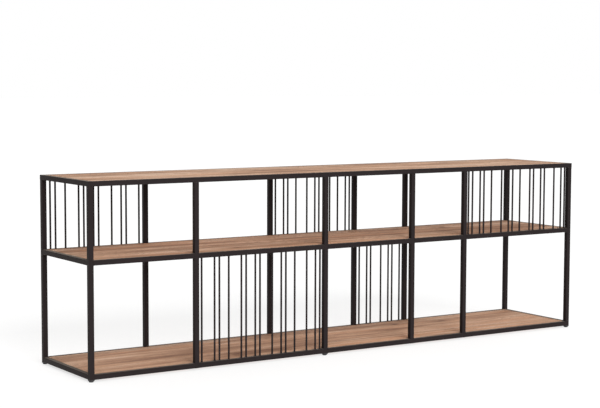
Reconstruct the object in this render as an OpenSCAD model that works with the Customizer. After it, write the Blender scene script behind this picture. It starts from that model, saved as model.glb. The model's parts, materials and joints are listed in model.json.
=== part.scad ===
// Long, low television stand: a welded frame of black square tube with three wooden
// shelves inset flush in it, and five grilles of upright round bars between the rails.
// Origin: on the floor, under the middle of the stand. +X right, +Y to the back, +Z up.

/* [Overall size] */
// Width over the end posts
overall_w = 2200; // [2100:5:2400]
// Depth over the front and back rails
overall_d = 410; // [340:5:480]
// Height from the floor to the top shelf
overall_h = 690; // [645:5:780]

/* [Frame tube] */
// Side of the square posts, and width of the rails
tube_w = 18; // [15:1:20]
// Height of the rails
rail_h = 18; // [17:1:25]
// Wall thickness of all tubes
tube_wall = 1.5; // [1.5:0.1:2]
// Outer corner radius of all tubes
corner_r = 1.5; // [0.5:0.1:1.5]

/* [Levels] */
// Height of the feet under the frame
foot_h = 8; // [7:1:15]
// Clear height between the bottom and the middle shelf frame
lower_opening_h = 376; // [320:1:385]

/* [Bays] */
// First bay from the left, between post centres
bay_1_w = 410; // [380:1:420]
// Second bay
bay_2_w = 552; // [500:1:570]
// Third bay
bay_3_w = 406; // [370:1:420]
// Fourth bay
bay_4_w = 259; // [240:1:290]

/* [Grilles] */
// Diameter of the upright bars
bar_d = 7; // [5:0.5:8]
// Narrow gap, between bar centres
narrow_gap = 20; // [17:1:24]
// Middle gap, between bar centres
middle_gap = 39; // [34:1:44]
// Wide gap, between bar centres
wide_gap = 53; // [48:1:60]

/* [Shelves] */
// Thickness of the wooden panels
shelf_t = 15; // [12:0.5:15]
// Gap between a panel and the frame around it
shelf_gap = 1; // [0.5:0.25:2]
// Width of the flat steel bearers under the panels
bearer_w = 25; // [20:1:40]

/* [Screws] */
// Shank diameter of the countersunk wood screws
screw_d = 4; // [3:0.5:5]
// Length of the wood screws
screw_l = 14; // [10:1:14]

/* [Hidden] */
BAYS = 5;
LEVEL_NAMES = ["bottom", "middle", "top"];

$fn = 48;

// Centre lines of the frame
post_x_max = (overall_w - tube_w) / 2;
post_y = (overall_d - tube_w) / 2;
post_x = [
    -post_x_max,
    -post_x_max + bay_1_w,
    -post_x_max + bay_1_w + bay_2_w,
    -post_x_max + bay_1_w + bay_2_w + bay_3_w,
    -post_x_max + bay_1_w + bay_2_w + bay_3_w + bay_4_w,
    post_x_max
];

// Underside of the bottom, middle and top rails
rail_z = [
    foot_h,
    foot_h + rail_h + lower_opening_h,
    overall_h - rail_h
];
post_h = rail_z[2] - foot_h;

inner_w = overall_w - 2 * tube_w;
inner_d = overall_d - 2 * tube_w;
tube_bore = tube_w - 2 * tube_wall;

// The panels lie on the bearers with their tops level with the rails
bearer_t = rail_h - shelf_t;
end_bearer_inset = 30;
bearer_x = [
    post_x[0] + end_bearer_inset,
    post_x[1],
    post_x[2],
    post_x[3],
    post_x[4],
    post_x[5] - end_bearer_inset
];
screw_y = 0.32 * inner_d;
screw_head_d = 2 * screw_d;
screw_head_h = 0.5 * screw_d;
screw_tip_h = 3;
screw_slot_w = 1;
screw_slot_l = 1.1 * screw_d;
screw_slot_depth = 1.4;

// Feet stand under these posts, and the other posts end in a plug
foot_posts = [0, 2, 5];
plug_posts = [1, 3, 4];
foot_flange_h = 3.5;
foot_pad_inset = 0.5;
foot_round_r = 2.5;
plug_h = 14;
plug_plate_h = 2;
plug_core = 0.7 * tube_bore;
plug_rib_h = 1.2;
plug_rib_pitch = 4;

steel = "#332e30";
wood = "#b08d73";
plastic = "#151515";
zinc = "#b8b8b4";

// The grille of each bay: its level, its side of the stand (-1 front, 1 back), the distance
// from the post centres to its first and last bar, and its gaps from the left, where
// n is narrow, m is middle and w is wide
GRILLES = [
    [1, 1, 26, "nmwnmnwmnw"],
    [0, -1, 23, "wnmwnmnwmnmwmn"],
    [1, 1, 25, "mnmwmnwmmn"],
    [0, 1, 27, "mnwmnm"],
    [1, -1, 22, "nmnmwmnmwnmnwmn"],
];

function gap_width(letter) =
    letter == "n" ? narrow_gap : letter == "m" ? middle_gap : wide_gap;

// Sum of a pattern's first gaps
function run_length(gaps, count) =
    count == 0 ? 0 : gap_width(gaps[count - 1]) + run_length(gaps, count - 1);

module rounded_rectangle(w, h) {
    square([w - 2 * corner_r, h], center = true);
    square([w, h - 2 * corner_r], center = true);
    for (x = [-1, 1], y = [-1, 1]) {
        translate([x * (w / 2 - corner_r), y * (h / 2 - corner_r)]) circle(corner_r);
    }
}

module tube_section(w, h) {
    difference() {
        rounded_rectangle(w, h);
        square([w - 2 * tube_wall, h - 2 * tube_wall], center = true);
    }
}

module post(x, y) {
    color(steel) translate([x, y, foot_h]) linear_extrude(post_h) tube_section(tube_w, tube_w);
}

// Rail along X with its underside at z = 0, centred on its length
module rail(length) {
    translate([-length / 2, 0, rail_h / 2])
        rotate([90, 0, 90])
            linear_extrude(length) tube_section(tube_w, rail_h);
}

// Rail with both ends mitred at 45 degrees, and its outer face to -Y
module mitred_rail(length) {
    long = length / 2;
    short = long - tube_w;
    intersection() {
        rail(length);
        linear_extrude(rail_h)
            polygon([[-long, -tube_w / 2], [long, -tube_w / 2], [short, tube_w / 2], [-short, tube_w / 2]]);
    }
}

// Rail of one bay, butted between two posts
module bay_rail(bay, y, z) {
    left = post_x[bay - 1] + tube_w / 2;
    right = post_x[bay] - tube_w / 2;
    color(steel) translate([(left + right) / 2, y, z]) rail(right - left);
}

// Rail of one end, butted between the front and the back post
module end_rail(x, z) {
    color(steel) translate([x, 0, z]) rotate([0, 0, 90]) rail(inner_d);
}

module top_rail(x, y, turn, length) {
    color(steel) translate([x, y, rail_z[2]]) rotate([0, 0, turn]) mitred_rail(length);
}

// Wooden panel, with a blind pilot hole over every screw
module shelf(level) {
    z = rail_z[level] + bearer_t;
    color(wood) difference() {
        translate([-inner_w / 2 + shelf_gap, -inner_d / 2 + shelf_gap, z])
            cube([inner_w - 2 * shelf_gap, inner_d - 2 * shelf_gap, shelf_t]);
        for (x = bearer_x, y = [-screw_y, screw_y]) {
            translate([x, y, z - 1]) cylinder(h = screw_l - bearer_t + 1, d = screw_d);
        }
    }
}

// Flat strips welded across the frame, with countersunk holes from below
module bearers(level) {
    color(steel) for (x = bearer_x) {
        difference() {
            translate([x - bearer_w / 2, -inner_d / 2, rail_z[level]])
                cube([bearer_w, inner_d, bearer_t]);
            for (y = [-screw_y, screw_y]) {
                translate([x, y, rail_z[level]]) screw_hole();
            }
        }
    }
}

module screw_hole() {
    translate([0, 0, -1]) cylinder(h = bearer_t + 2, d = screw_d);
    cylinder(h = screw_head_h, d1 = screw_head_d, d2 = screw_d);
}

// Countersunk wood screw with a cross recess, head down at z = 0
module wood_screw() {
    difference() {
        union() {
            cylinder(h = screw_head_h, d1 = screw_head_d, d2 = screw_d);
            cylinder(h = screw_l - screw_tip_h, d = screw_d);
            translate([0, 0, screw_l - screw_tip_h])
                cylinder(h = screw_tip_h, d1 = screw_d, d2 = screw_d / 5);
        }
        for (turn = [0, 90]) {
            rotate([0, 0, turn])
                cube([screw_slot_l, screw_slot_w, 2 * screw_slot_depth], center = true);
        }
    }
}

module shelf_screws(level) {
    color(zinc) for (x = bearer_x, y = [-screw_y, screw_y]) {
        translate([x, y, rail_z[level]]) wood_screw();
    }
}

// Upright bars between the rails of one bay. The gaps are stretched a little, so that
// the first and the last bar stand end_gap from the centres of the posts.
module grille(bay) {
    level = GRILLES[bay - 1][0];
    side = GRILLES[bay - 1][1];
    end_gap = GRILLES[bay - 1][2];
    gaps = GRILLES[bay - 1][3];
    bottom = rail_z[level] + rail_h;
    span = post_x[bay] - post_x[bay - 1] - 2 * end_gap;
    stretch = span / run_length(gaps, len(gaps));
    color(steel) for (i = [0 : len(gaps)]) {
        translate([
            post_x[bay - 1] + end_gap + stretch * run_length(gaps, i),
            side * post_y,
            bottom
        ])
            cylinder(h = rail_z[level + 1] - bottom, d = bar_d);
    }
}

// Ribbed stem that is pushed into a post, with its lower end at z = 0
module ribbed_stem() {
    linear_extrude(plug_h) square(plug_core, center = true);
    for (z = [plug_rib_pitch : plug_rib_pitch : plug_h - plug_rib_h]) {
        translate([0, 0, z]) linear_extrude(plug_rib_h) square(tube_bore, center = true);
    }
}

// Glide with a square flange under the tube and a round pad with an eased edge
module foot() {
    pad_r = tube_w / 2 - foot_pad_inset;
    flat_r = pad_r - foot_round_r;
    rotate_extrude() {
        square([flat_r, foot_h - foot_flange_h]);
        translate([0, foot_round_r]) square([pad_r, foot_h - foot_flange_h - foot_round_r]);
        intersection() {
            translate([flat_r, foot_round_r]) circle(foot_round_r);
            square([pad_r, foot_round_r]);
        }
    }
    translate([0, 0, foot_h - foot_flange_h])
        linear_extrude(foot_flange_h) rounded_rectangle(tube_w, tube_w);
    translate([0, 0, foot_h]) ribbed_stem();
}

module feet() {
    color(plastic) for (i = foot_posts, y = [-post_y, post_y]) {
        translate([post_x[i], y, 0]) foot();
    }
}

// Plugs that close the posts without feet, level with the posts' lower ends
module post_plugs() {
    color(plastic) for (i = plug_posts, y = [-post_y, post_y]) {
        translate([post_x[i], y, foot_h]) {
            ribbed_stem();
            linear_extrude(plug_plate_h) square(tube_bore, center = true);
        }
    }
}

for (i = [1 : BAYS + 1]) {
    post(post_x[i - 1], -post_y);
    post(post_x[i - 1], post_y);
}
for (i = [1 : BAYS]) {
    bay_rail(i, -post_y, rail_z[0]);
    bay_rail(i, post_y, rail_z[0]);
    bay_rail(i, -post_y, rail_z[1]);
    bay_rail(i, post_y, rail_z[1]);
}
for (level = [0, 1]) {
    end_rail(-post_x_max, rail_z[level]);
    end_rail(post_x_max, rail_z[level]);
}
top_rail(0, -post_y, 0, overall_w);  // top_front_rail
top_rail(0, post_y, 180, overall_w);  // top_back_rail
top_rail(-post_x_max, 0, -90, overall_d);  // top_left_rail
top_rail(post_x_max, 0, 90, overall_d);  // top_right_rail
for (level = [0 : 2]) {
    shelf(level);
    bearers(level);
    shelf_screws(level);
}
for (i = [1 : BAYS]) {
    grille(i);
}
feet();
post_plugs();
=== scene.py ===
"""The looks of a long, low television stand: black powder-coated square tube, three inset
wooden shelves glued up from boards, and grilles of upright round bars. Metres, in the CAD frame:
+X right, +Y to the back, +Z up, origin on the floor under the middle of the stand."""

import json
import math
import random

import bmesh
import bpy
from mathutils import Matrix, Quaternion, Vector


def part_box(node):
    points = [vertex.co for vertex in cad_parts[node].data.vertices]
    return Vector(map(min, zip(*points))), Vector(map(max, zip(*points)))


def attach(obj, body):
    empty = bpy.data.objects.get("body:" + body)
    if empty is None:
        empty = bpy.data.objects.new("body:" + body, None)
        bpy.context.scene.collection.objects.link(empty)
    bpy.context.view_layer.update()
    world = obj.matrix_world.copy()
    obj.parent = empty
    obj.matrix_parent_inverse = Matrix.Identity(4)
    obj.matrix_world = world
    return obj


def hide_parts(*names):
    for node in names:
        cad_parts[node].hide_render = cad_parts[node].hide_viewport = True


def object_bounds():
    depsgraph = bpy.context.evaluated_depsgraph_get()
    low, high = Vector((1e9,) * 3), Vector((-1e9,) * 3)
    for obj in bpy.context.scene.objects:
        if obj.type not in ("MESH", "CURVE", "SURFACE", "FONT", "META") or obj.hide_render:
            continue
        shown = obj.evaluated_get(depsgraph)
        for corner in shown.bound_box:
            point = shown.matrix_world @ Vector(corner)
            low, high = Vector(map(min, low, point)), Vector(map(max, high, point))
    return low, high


MM = 0.001
BODY = "root"

# Shelf panels
SHELVES = ("bottom_shelf", "middle_shelf", "top_shelf")
BOARDS_PER_SHELF = 4
EDGE_EASE = 0.8 * MM
GROOVE_DEPTH = 0.35 * MM
GROOVE_HALF_WIDTH = 0.35 * MM
GRAIN_SEED = 11
CORNER_STEPS = 3
PANEL_SMOOTH = math.radians(40)

# The line of the pith that a board's growth rings run round: how far aside of the board's middle
# and how far below the panel it lies, and how far the pattern is shifted along X
PITH_ASIDE = 35 * MM
PITH_BELOW = (35 * MM, 110 * MM)
GRAIN_SHIFT = 9.0

# Weld beads: their legs, how deep they sink into the steel, and how much of a tube's width they
# run along
BAR_WELD_LEG = 1.3 * MM
TUBE_WELD_LEG = 2.2 * MM
WELD_SINK = 0.2 * MM
TUBE_WELD_SHARE = 0.72
WELD_SMOOTH = math.radians(50)
WELD_SEED = 5

# Grille bars: points further apart than this belong to different bars
BAR_GAP = 8 * MM

# Camera: where it looks, from which side and from how far
AIM_FROM_CENTRE = Vector((-0.1146, 0.0, 0.2115))
CAMERA_DISTANCE = 5.849
CAMERA_AZIMUTH = math.radians(32.928)
CAMERA_ELEVATION = math.radians(4.789)
CAMERA_ROLL = math.radians(0.180)
CAMERA_LENS = 91.14

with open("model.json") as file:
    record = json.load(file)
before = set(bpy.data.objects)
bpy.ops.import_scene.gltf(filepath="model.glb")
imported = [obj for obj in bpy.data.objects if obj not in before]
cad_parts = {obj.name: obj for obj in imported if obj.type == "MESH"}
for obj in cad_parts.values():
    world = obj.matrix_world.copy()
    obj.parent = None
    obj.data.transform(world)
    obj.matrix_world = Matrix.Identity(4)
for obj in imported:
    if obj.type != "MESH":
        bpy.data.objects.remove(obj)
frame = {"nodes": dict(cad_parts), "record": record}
cad_low, cad_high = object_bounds()
nodes = frame["nodes"]


# ---------------------------------------------------------------- shader helpers

class Shader:
    """A new material with a Principled surface, and short calls that add and link nodes."""

    def __init__(self, name):
        self.material = bpy.data.materials.new(name)
        self.material.use_nodes = True
        self.tree = self.material.node_tree
        self.surface = next(n for n in self.tree.nodes if n.type == "BSDF_PRINCIPLED")

    def add(self, kind, inputs=None, **settings):
        """A node of this kind. Each input is a value, or another node's output socket."""
        node = self.tree.nodes.new("ShaderNode" + kind)
        for key, value in settings.items():
            setattr(node, key, value)
        for key, value in (inputs or {}).items():
            self.put(node.inputs[key], value)
        return node

    def put(self, socket, value):
        if isinstance(value, bpy.types.NodeSocket):
            self.tree.links.new(value, socket)
        else:
            socket.default_value = value

    def maths(self, operation, a, b=0.0):
        return self.add("Math", {0: a, 1: b}, operation=operation).outputs[0]

    def vector_maths(self, operation, a, b):
        return self.add("VectorMath", {0: a, 1: b}, operation=operation).outputs["Vector"]

    def noise(self, vector, scale=1.0, detail=3.0, roughness=0.5, distortion=0.0):
        inputs = {
            "Vector": vector,
            "Scale": scale,
            "Detail": detail,
            "Roughness": roughness,
            "Distortion": distortion,
        }
        return self.add("TexNoise", inputs).outputs["Fac"]

    def ramp(self, value, stops, interpolation="LINEAR"):
        """Colours at places from 0 to 1, given as (place, colour) pairs."""
        node = self.add("ValToRGB", {"Fac": value})
        ramp = node.color_ramp
        ramp.interpolation = interpolation
        while len(ramp.elements) < len(stops):
            ramp.elements.new(0.5)
        for element, (place, colour) in zip(ramp.elements, stops):
            element.position = place
            element.color = (*colour, 1.0)
        return node.outputs["Color"]

    def spread(self, value, from_low, from_high, to_low, to_high):
        inputs = {
            "Value": value,
            "From Min": from_low,
            "From Max": from_high,
            "To Min": to_low,
            "To Max": to_high,
        }
        return self.add("MapRange", inputs, clamp=True).outputs["Result"]

    def mix(self, factor, a, b):
        """Colour a turned into colour b by factor. The Mix node's colours are its inputs 6 and 7
        and its output 2."""
        node = self.add("Mix", data_type="RGBA")
        self.put(node.inputs["Factor"], factor)
        self.put(node.inputs[6], a)
        self.put(node.inputs[7], b)
        return node.outputs[2]

    def bump(self, height, strength, distance):
        inputs = {"Height": height, "Strength": strength, "Distance": distance}
        return self.add("Bump", inputs).outputs["Normal"]

    def object_point(self):
        return self.add("TexCoord").outputs["Object"]

    def stretched(self, point, x, y, z):
        return self.vector_maths("MULTIPLY", point, (x, y, z))

    def finish(self, **sockets):
        """Sets or links the Principled sockets, named with _ for a space."""
        for key, value in sockets.items():
            self.put(self.surface.inputs[key.replace("_", " ")], value)
        return self.material


# ---------------------------------------------------------------- materials

def wood_material():
    """Boards sawn along X: growth rings round each board's own pith line, a knot here and there,
    fibre streaks and pores along the grain, slow changes of tone, and a matt lacquer."""
    s = Shader("shelf_wood")
    point = s.object_point()
    pith = s.add("Attribute", attribute_name="pith").outputs["Vector"]
    tone = s.add("Attribute", attribute_name="board_tone").outputs["Fac"]
    local = s.vector_maths("SUBTRACT", point, pith)

    # Knots: some cells of a stretched cell pattern have one, and the rings bend round it
    cells = s.add("TexVoronoi", {"Vector": s.stretched(local, 4.5, 10.0, 0.0), "Scale": 1.0})
    lottery = s.add("SeparateColor", {"Color": cells.outputs["Color"]}).outputs["Red"]
    has_knot = s.spread(lottery, 0.66, 0.68, 0.0, 1.0)
    away = cells.outputs["Distance"]
    swirl = s.maths("MULTIPLY", has_knot, s.spread(away, 0.0, 0.42, 1.0, 0.0))
    core = s.maths("MULTIPLY", has_knot, s.spread(away, 0.045, 0.11, 1.0, 0.0))

    # Growth rings, 150 to the metre: the distance from a pith line that wanders along the board.
    # Each ring darkens slowly and ends sharply
    wander = s.add("TexNoise", {"Vector": s.stretched(local, 3.4, 3.0, 3.0), "Scale": 1.0, "Detail": 2.0})
    wander = s.vector_maths("SUBTRACT", wander.outputs["Color"], (0.5, 0.5, 0.5))
    wander = s.vector_maths("MULTIPLY", wander, (0.0, 0.08, 0.11))
    bent = s.vector_maths("ADD", s.stretched(local, 0.0, 1.0, 1.0), wander)
    radius = s.add("VectorMath", {0: bent}, operation="LENGTH").outputs["Value"]
    uneven = s.noise(s.stretched(local, 6.0, 55.0, 55.0), detail=3.0)
    rings = s.maths("ADD", s.maths("MULTIPLY", radius, 150.0), s.maths("MULTIPLY", uneven, 1.3))
    rings = s.maths("ADD", rings, s.maths("MULTIPLY", swirl, 3.0))
    phase = s.maths("FRACT", rings)
    ring_profile = [
        (0.0, (0.0, 0.0, 0.0)),
        (0.55, (0.35, 0.35, 0.35)),
        (0.86, (1.0, 1.0, 1.0)),
        (1.0, (0.0, 0.0, 0.0)),
    ]
    ring = s.ramp(phase, ring_profile, "EASE")

    # Fibres and pores, long and thin along X
    fibres = s.noise(s.stretched(local, 5.0, 420.0, 420.0), detail=4.0, roughness=0.65)
    streaks = s.noise(s.stretched(local, 2.0, 38.0, 38.0), detail=5.0, roughness=0.6, distortion=0.8)
    pores = s.noise(s.stretched(local, 45.0, 1100.0, 1100.0), detail=1.0)
    pores = s.spread(pores, 0.60, 0.68, 0.0, 1.0)

    # Slow patches of tone: pinkish, orange and greyish brown
    patches = s.noise(s.stretched(local, 1.7, 17.0, 17.0), detail=3.0, roughness=0.55, distortion=0.35)
    warm = s.noise(s.stretched(local, 1.5, 20.0, 20.0), detail=3.0, roughness=0.55, distortion=0.3)
    base = s.ramp(patches, [
        (0.33, (0.245, 0.115, 0.058)),
        (0.43, (0.440, 0.230, 0.126)),
        (0.53, (0.610, 0.350, 0.203)),
        (0.64, (0.725, 0.490, 0.335)),
    ])
    base = s.mix(s.spread(warm, 0.53, 0.66, 0.0, 0.70), base, (0.60, 0.265, 0.110, 1.0))
    base = s.mix(s.maths("MULTIPLY", ring, 0.42), base, (0.260, 0.122, 0.058, 1.0))
    base = s.mix(s.spread(streaks, 0.50, 0.74, 0.0, 0.75), base, (0.225, 0.108, 0.056, 1.0))
    base = s.mix(s.spread(fibres, 0.50, 0.70, 0.0, 0.50), base, (0.68, 0.42, 0.27, 1.0))
    base = s.mix(s.spread(fibres, 0.46, 0.32, 0.0, 0.50), base, (0.250, 0.120, 0.064, 1.0))
    base = s.mix(s.maths("MULTIPLY", pores, 0.65), base, (0.13, 0.062, 0.035, 1.0))
    base = s.mix(s.maths("MULTIPLY", swirl, 0.60), base, (0.210, 0.092, 0.044, 1.0))
    base = s.mix(s.maths("MULTIPLY", core, 0.80), base, (0.085, 0.036, 0.018, 1.0))
    lightness = s.spread(tone, 0.0, 1.0, 0.91, 1.11)
    toned = s.add("HueSaturation", {"Color": base, "Saturation": 0.88, "Value": lightness})

    relief = s.maths("ADD", s.maths("MULTIPLY", fibres, 0.6), s.maths("MULTIPLY", ring, -0.25))
    relief = s.maths("SUBTRACT", relief, s.maths("MULTIPLY", pores, 0.5))
    roughness = s.spread(fibres, 0.2, 0.8, 0.62, 0.76)
    return s.finish(
        Base_Color=toned.outputs["Color"],
        Roughness=roughness,
        Specular_IOR_Level=0.12,
        Normal=s.bump(relief, 0.35, 0.12 * MM),
    )


def powder_coat_material():
    """Satin black powder coat: a fine orange-peel skin, slightly uneven gloss, faces that look up
    made lighter, part thin dust and part painted sheen, and corners made a little lighter, part
    rubbed wear and part painted highlight."""
    s = Shader("black_steel")
    point = s.object_point()
    peel = s.noise(point, scale=900.0, detail=2.0)
    grains = s.noise(point, scale=3200.0, detail=1.0)
    cloud = s.noise(point, scale=9.0, detail=3.0)

    # Corners made a little lighter: part rubbed wear and part painted highlight along the edges
    corner = s.add("Bevel", {"Radius": 1.2 * MM}, samples=4).outputs["Normal"]
    true_normal = s.add("NewGeometry").outputs["Normal"]
    facing = s.add("VectorMath", {0: corner, 1: true_normal}, operation="DOT_PRODUCT").outputs["Value"]
    wear_and_highlight = s.spread(facing, 0.97, 0.80, 0.0, 1.0)
    patchy = s.spread(s.noise(point, scale=38.0, detail=4.0, roughness=0.7), 0.48, 0.66, 0.0, 1.0)
    wear_and_highlight = s.maths("MULTIPLY", wear_and_highlight, patchy)

    colour = s.ramp(cloud, [(0.3, (0.0098, 0.0064, 0.0066)), (0.7, (0.0132, 0.0086, 0.0090))])
    colour = s.mix(s.spread(grains, 0.60, 0.72, 0.0, 0.35), colour, (0.016, 0.013, 0.0135, 1.0))
    colour = s.mix(s.maths("MULTIPLY", wear_and_highlight, 0.35), colour, (0.050, 0.044, 0.043, 1.0))
    # Faces that look up are made lighter: part thin dust, part painted sheen, a painted grazing reflection
    # on the tube tops
    upward = s.add("SeparateXYZ", {"Vector": true_normal}).outputs["Z"]
    looks_up = s.spread(upward, 0.70, 0.95, 0.0, 1.0)
    dust_and_sheen = s.maths("MULTIPLY", looks_up, s.spread(cloud, 0.35, 0.65, 0.60, 1.00))
    colour = s.mix(s.maths("MULTIPLY", dust_and_sheen, 0.6), colour, (0.080, 0.062, 0.050, 1.0))
    roughness = s.maths("ADD", s.spread(cloud, 0.3, 0.7, 0.54, 0.64), s.maths("MULTIPLY", grains, 0.06))
    height = s.maths("ADD", peel, s.maths("MULTIPLY", grains, 0.35))
    return s.finish(
        Base_Color=colour,
        Roughness=roughness,
        Specular_IOR_Level=0.12,
        Sheen_Weight=0.40,
        Sheen_Roughness=0.22,
        Sheen_Tint=(1.0, 0.86, 0.72, 1.0),
        Normal=s.bump(height, 0.30, 0.06 * MM),
    )


def weld_material():
    """Weld beads under the same powder coat, a little glossier and rippled."""
    s = Shader("welds")
    point = s.object_point()
    ripple = s.noise(point, scale=1500.0, detail=2.0, distortion=0.4)
    colour = s.ramp(ripple, [(0.3, (0.007, 0.005, 0.006)), (0.7, (0.013, 0.010, 0.011))])
    return s.finish(
        Base_Color=colour,
        Roughness=s.spread(ripple, 0.3, 0.7, 0.32, 0.48),
        Specular_IOR_Level=0.12,
        Normal=s.bump(ripple, 0.5, 0.15 * MM),
    )


def plastic_material():
    """Moulded black plastic with a fine spark-eroded texture."""
    s = Shader("black_plastic")
    point = s.object_point()
    texture = s.noise(point, scale=2600.0, detail=2.0, roughness=0.6)
    scuffs = s.noise(s.stretched(point, 60.0, 60.0, 260.0), detail=4.0, roughness=0.7)
    colour = s.ramp(scuffs, [(0.35, (0.011, 0.011, 0.012)), (0.72, (0.024, 0.023, 0.023))])
    return s.finish(
        Base_Color=colour,
        Roughness=s.spread(texture, 0.3, 0.7, 0.48, 0.64),
        IOR=1.46,
        Normal=s.bump(texture, 0.35, 0.05 * MM),
    )


def zinc_material():
    """Bright zinc plating with faint turning marks and a yellowish bloom."""
    s = Shader("zinc_screws")
    point = s.object_point()
    bloom = s.noise(point, scale=420.0, detail=3.0)
    marks = s.noise(s.stretched(point, 400.0, 400.0, 5200.0), detail=2.0)
    colour = s.ramp(bloom, [(0.35, (0.54, 0.55, 0.56)), (0.70, (0.66, 0.63, 0.55))])
    return s.finish(
        Base_Color=colour,
        Metallic=1.0,
        Roughness=s.spread(marks, 0.3, 0.7, 0.24, 0.42),
        Normal=s.bump(marks, 0.2, 0.03 * MM),
    )


def floor_material():
    """Matt grey studio floor with a barely visible unevenness. Its own glow lifts it, where it is
    fully lit, to only just white, so that thin dark bars in front of it keep their width."""
    s = Shader("studio_floor")
    cloud = s.noise(s.object_point(), scale=1.4, detail=3.0)
    colour = s.ramp(cloud, [(0.3, (0.34, 0.34, 0.338)), (0.7, (0.36, 0.36, 0.358))])
    return s.finish(
        Base_Color=colour,
        Roughness=0.9,
        Specular_IOR_Level=0.1,
        Emission_Color=(1.0, 1.0, 1.0, 1.0),
        Emission_Strength=0.68,
    )


MATERIALS = {
    "black_steel": powder_coat_material(),
    "shelf_wood": wood_material(),
    "black_plastic": plastic_material(),
    "zinc_screws": zinc_material(),
}
WELD = weld_material()


# ---------------------------------------------------------------- pieces

def new_piece(name, mesh, material):
    """An object for this mesh that rides on the stand's only body, with its finish."""
    piece = bpy.data.objects.new(name, mesh)
    bpy.context.scene.collection.objects.link(piece)
    mesh.materials.append(material)
    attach(piece, BODY)
    return piece


def mesh_from(name, bm, smooth_angle):
    """Turns bm into a closed mesh, smooth except where faces meet more sharply than the angle."""
    bmesh.ops.recalc_face_normals(bm, faces=bm.faces)
    for face in bm.faces:
        face.smooth = True
    for edge in bm.edges:
        edge.smooth = edge.calc_face_angle(math.pi) < smooth_angle
    mesh = bpy.data.meshes.new(name)
    bm.to_mesh(mesh)
    bm.free()
    return mesh


def rounded_corner(centre_y, centre_z, radius, start):
    """A quarter circle of points, turning anticlockwise from the start angle."""
    angles = [start + math.pi / 2 * i / CORNER_STEPS for i in range(CORNER_STEPS + 1)]
    return [(centre_y + radius * math.cos(a), centre_z + radius * math.sin(a)) for a in angles]


def panel_outline(low, high, boards):
    """The panel's section in Y and Z, anticlockwise from its front lower corner, with a fine
    V-groove above and below at every glue line, and the seams' places along Y."""
    seams = [low.y + (high.y - low.y) * i / boards for i in range(1, boards)]
    r = EDGE_EASE
    outline = rounded_corner(low.y + r, low.z + r, r, math.pi)
    for y in seams:
        outline += [(y - GROOVE_HALF_WIDTH, low.z), (y, low.z + GROOVE_DEPTH)]
        outline += [(y + GROOVE_HALF_WIDTH, low.z)]
    outline += rounded_corner(high.y - r, low.z + r, r, -math.pi / 2)
    outline += rounded_corner(high.y - r, high.z - r, r, 0.0)
    for y in reversed(seams):
        outline += [(y + GROOVE_HALF_WIDTH, high.z), (y, high.z - GROOVE_DEPTH)]
        outline += [(y - GROOVE_HALF_WIDTH, high.z)]
    outline += rounded_corner(low.y + r, high.z - r, r, math.pi / 2)
    return outline, seams


def shelf_panel(node, rng):
    """One glued panel: the section run along X, a little smaller at its two ends."""
    low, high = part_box(node)
    outline, seams = panel_outline(low, high, BOARDS_PER_SHELF)
    middle_y = (low.y + high.y) / 2
    middle_z = (low.z + high.z) / 2
    shrink_y = 1 - 2 * EDGE_EASE / (high.y - low.y)
    shrink_z = 1 - 2 * EDGE_EASE / (high.z - low.z)
    stations = [
        (low.x, shrink_y, shrink_z),
        (low.x + EDGE_EASE, 1.0, 1.0),
        (high.x - EDGE_EASE, 1.0, 1.0),
        (high.x, shrink_y, shrink_z),
    ]
    bm = bmesh.new()
    rings = []
    for x, fy, fz in stations:
        points = [(x, middle_y + (y - middle_y) * fy, middle_z + (z - middle_z) * fz) for y, z in outline]
        rings.append([bm.verts.new(p) for p in points])
    for a, b in zip(rings, rings[1:]):
        for i in range(len(outline)):
            j = (i + 1) % len(outline)
            bm.faces.new((a[i], a[j], b[j], b[i]))
    add_end_grain_faces(bm, rings[0], len(seams))
    add_end_grain_faces(bm, rings[-1], len(seams))
    mesh = mesh_from(node + "_panel", bm, PANEL_SMOOTH)
    mark_boards(mesh, seams, low, high, rng)
    piece = new_piece(node + "_panel", mesh, MATERIALS["shelf_wood"])
    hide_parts(node)


def add_end_grain_faces(bm, ring, seam_count):
    """Closes one end with a face for each board, split at the groove bottoms. The ring's points
    are a corner, three for each groove with its bottom second, and a corner, below and above."""
    corner = CORNER_STEPS + 1
    groove = 3
    count = len(ring)
    bottoms = [corner + groove * i + 1 for i in range(seam_count)]
    tops = [count - corner - 2 - groove * i for i in range(seam_count)]
    cuts = [None, *zip(bottoms, tops), None]
    for left, right in zip(cuts, cuts[1:]):
        lower_start = left[0] if left else 0
        lower_end = right[0] if right else count // 2
        if right:
            lower = list(range(lower_start, lower_end + 1))
            upper_start = right[1]
        else:
            lower = []
            upper_start = lower_start
        upper_end = left[1] if left else count - 1
        indices = lower + list(range(upper_start, upper_end + 1))
        bm.faces.new([ring[i] for i in indices])


def mark_boards(mesh, seams, low, high, rng):
    """Gives every face its board's pith line and tone, which the wood material reads."""
    edges = [low.y, *seams, high.y]
    boards = []
    for left, right in zip(edges, edges[1:]):
        pith_y = (left + right) / 2 + rng.uniform(-PITH_ASIDE, PITH_ASIDE)
        pith_z = low.z - rng.uniform(*PITH_BELOW)
        shift_x = rng.uniform(-GRAIN_SHIFT, GRAIN_SHIFT)
        boards.append(((shift_x, pith_y, pith_z), rng.random()))
    pith = mesh.attributes.new("pith", "FLOAT_VECTOR", "FACE")
    tone = mesh.attributes.new("board_tone", "FLOAT", "FACE")
    for polygon in mesh.polygons:
        board = sum(polygon.center.y > y for y in seams)
        pith.data[polygon.index].vector = boards[board][0]
        tone.data[polygon.index].value = boards[board][1]


def bar_centres(node):
    """X of every bar's axis in a grille node, from its own solids."""
    xs = sorted(v.co.x for v in nodes[node].data.vertices)
    groups = [[xs[0]]]
    for x in xs[1:]:
        if x - groups[-1][0] > BAR_GAP:
            groups.append([])
        groups[-1].append(x)
    return [(g[0] + g[-1]) / 2 for g in groups]


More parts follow.
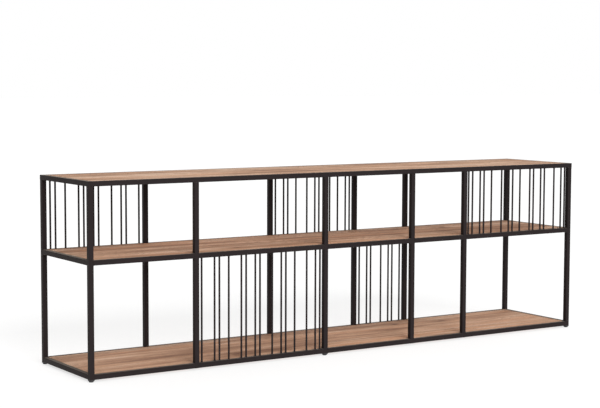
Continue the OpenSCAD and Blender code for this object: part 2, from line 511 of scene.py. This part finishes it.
def add_collar(bm, x, y, z, up, bar_radius, leg, sides=20):
    """A small concave fillet round a bar's end on a rail face. up is 1 above a face, -1 below."""
    profile = [
        (bar_radius - WELD_SINK, leg),
        (bar_radius + 0.08 * leg, leg),
        (bar_radius + 0.32 * leg, 0.36 * leg),
        (bar_radius + leg, 0.07 * leg),
        (bar_radius + leg, -WELD_SINK),
        (bar_radius - WELD_SINK, -WELD_SINK),
    ]
    rings = []
    for i in range(sides):
        angle = 2 * math.pi * i / sides
        rings.append([
            bm.verts.new((x + r * math.cos(angle), y + r * math.sin(angle), z + up * h)) for r, h in profile
        ])
    for i in range(sides):
        a, b = rings[i], rings[(i + 1) % sides]
        for k in range(len(profile)):
            m = (k + 1) % len(profile)
            bm.faces.new((a[k], b[k], b[m], a[m]))


def grille_welds(node, rng):
    """A bead at both ends of every bar in a grille."""
    low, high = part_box(node)
    radius = (high.y - low.y) / 2
    y = (low.y + high.y) / 2
    bm = bmesh.new()
    for x in bar_centres(node):
        add_collar(bm, x, y, low.z, 1, radius, BAR_WELD_LEG * rng.uniform(0.85, 1.15))
        add_collar(bm, x, y, high.z, -1, radius, BAR_WELD_LEG * rng.uniform(0.85, 1.15))
    mesh = mesh_from(node + "_welds", bm, WELD_SMOOTH)
    new_piece(node + "_welds", mesh, WELD)


def add_fillet(bm, x, y, z, out, up, length, leg, rng, sections=9):
    """A rippled fillet bead along Y in the corner of a post face and a rail face. It grows from
    (x, z) by out along X and by up along Z, and tapers at its ends."""
    rings = []
    for i in range(sections):
        share = i / (sections - 1)
        taper = min(1.0, 0.35 + 4 * min(share, 1 - share))
        size = leg * taper * rng.uniform(0.9, 1.08)
        at = y + length * (share - 0.5)
        profile = [
            (-WELD_SINK, -WELD_SINK),
            (size, -WELD_SINK),
            (size, 0.06 * size),
            (0.36 * size, 0.36 * size),
            (0.06 * size, size),
            (-WELD_SINK, size),
        ]
        rings.append([bm.verts.new((x + out * px, at, z + up * pz)) for px, pz in profile])
    for a, b in zip(rings, rings[1:]):
        for k in range(len(a)):
            m = (k + 1) % len(a)
            bm.faces.new((a[k], a[m], b[m], b[k]))
    bm.faces.new(rings[0])
    bm.faces.new(rings[-1])


def frame_welds(rng):
    """Beads where the rails of the bays meet the posts, above the bottom rails and both above and
    below the middle rails. The end rails and the top ring have none: they are ground flush."""
    bm = bmesh.new()
    for name in sorted(nodes):
        if "_rail_" not in name:
            continue
        low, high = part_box(name)
        y = (low.y + high.y) / 2
        length = TUBE_WELD_SHARE * (high.y - low.y)
        for x, out in ((low.x, 1), (high.x, -1)):
            add_fillet(bm, x, y, high.z, out, 1, length, TUBE_WELD_LEG, rng)
            if name.startswith("middle"):
                add_fillet(bm, x, y, low.z, out, -1, length, TUBE_WELD_LEG, rng)
    mesh = mesh_from("frame_welds", bm, WELD_SMOOTH)
    new_piece("frame_welds", mesh, WELD)


# ---------------------------------------------------------------- the stand

slots = {row["node"]: row["material_slot"] for row in frame["record"]["subparts"]}
for node_name, node in nodes.items():
    for material_slot in node.material_slots:
        material_slot.material = MATERIALS[slots[node_name]]

grain = random.Random(GRAIN_SEED)
for shelf in SHELVES:
    shelf_panel(shelf, grain)

beads = random.Random(WELD_SEED)
for node_name in sorted(nodes):
    if node_name.startswith("grille_"):
        grille_welds(node_name, beads)
frame_welds(beads)


# ---------------------------------------------------------------- studio

def studio_floor(half_size=60.0):
    """A plain square at floor level, large enough to reach the horizon in every view."""
    signs = [(-1, -1), (1, -1), (1, 1), (-1, 1)]
    corners = [(half_size * x, half_size * y, 0) for x, y in signs]
    mesh = bpy.data.meshes.new("floor")
    mesh.from_pydata(corners, [], [(0, 1, 2, 3)])
    floor = bpy.data.objects.new("floor", mesh)
    bpy.context.scene.collection.objects.link(floor)
    mesh.materials.append(floor_material())


def point_at(thing, target):
    """Turns a lamp or the camera to look at the target."""
    thing.rotation_mode = "QUATERNION"
    thing.rotation_quaternion = (target - thing.location).to_track_quat("-Z", "Y")


def soft_light(name, azimuth, elevation, spread, strength):
    """A far, very large soft light. Azimuth 0 is straight in front, and grows to the right. A
    sun's place doesn't matter, only where it points."""
    light = bpy.data.lights.new(name, "SUN")
    light.angle = math.radians(spread)
    light.energy = strength
    lamp = bpy.data.objects.new(name, light)
    a = math.radians(azimuth)
    e = math.radians(elevation)
    lamp.location = Vector((math.sin(a) * math.cos(e), -math.cos(a) * math.cos(e), math.sin(e)))
    point_at(lamp, Vector((0, 0, 0)))
    bpy.context.scene.collection.objects.link(lamp)


def studio_world(backdrop, room):
    """A plain white backdrop for the camera, and a dimmer room that lights the stand. backdrop
    and room are their brightnesses."""
    world = bpy.data.worlds.new("studio")
    world.use_nodes = True
    tree = world.node_tree
    background = tree.nodes["Background"]
    rays = tree.nodes.new("ShaderNodeLightPath")
    strength = tree.nodes.new("ShaderNodeMapRange")
    strength.inputs["To Min"].default_value = room
    strength.inputs["To Max"].default_value = backdrop
    tree.links.new(rays.outputs["Is Camera Ray"], strength.inputs["Value"])
    tree.links.new(strength.outputs["Result"], background.inputs["Strength"])
    background.inputs["Color"].default_value = (1.0, 1.0, 1.0, 1.0)
    bpy.context.scene.world = world


def photo_camera(centre):
    """The camera, looking at a point near the stand's middle from the front left."""
    aim = centre + AIM_FROM_CENTRE
    back = Vector((
        -math.sin(CAMERA_AZIMUTH) * math.cos(CAMERA_ELEVATION),
        -math.cos(CAMERA_AZIMUTH) * math.cos(CAMERA_ELEVATION),
        math.sin(CAMERA_ELEVATION),
    ))
    data = bpy.data.cameras.new("camera")
    data.lens = CAMERA_LENS
    camera = bpy.data.objects.new("camera", data)
    camera.location = aim + CAMERA_DISTANCE * back
    point_at(camera, aim)
    camera.rotation_quaternion @= Quaternion((0, 0, 1), CAMERA_ROLL)
    bpy.context.scene.collection.objects.link(camera)
    bpy.context.scene.camera = camera


stand_centre = (cad_low + cad_high) / 2
studio_floor()
studio_world(backdrop=1.0, room=0.46)
soft_light("key", azimuth=-4, elevation=25, spread=42, strength=3.6)
soft_light("top", azimuth=150, elevation=62, spread=60, strength=0.5)
photo_camera(stand_centre)

# Plain sRGB, so that white stays white
bpy.context.scene.view_settings.view_transform = "Standard"
